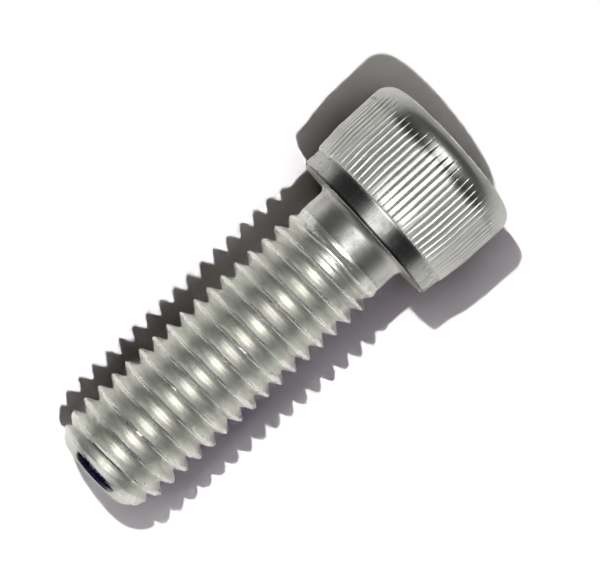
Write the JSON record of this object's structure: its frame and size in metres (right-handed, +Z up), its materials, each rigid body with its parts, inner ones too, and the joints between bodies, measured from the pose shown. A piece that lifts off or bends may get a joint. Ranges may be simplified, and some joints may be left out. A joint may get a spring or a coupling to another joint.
{
  "type": "hex socket cap screw",
  "caption": "Steel cap screw with a knurled cylindrical head, a hexagonal socket, a plain neck and a right-hand metric thread, lying on its side.",
  "frame": {"origin": "bottom centre of the bounding box, on the table that the screw lies on", "axes": "+X runs along the screw towards its head, +Z is up from the table. The screw's own axis leans up towards the head by 4.8 degrees, because the head is wider than the thread"},
  "size_m": [0.0468, 0.0178, 0.0181],
  "materials": {
    "steel": "bright zinc plating, satin"
  },
  "bodies": {
    "root": {"cap_screw": "steel"}
  },
  "joints": []
}
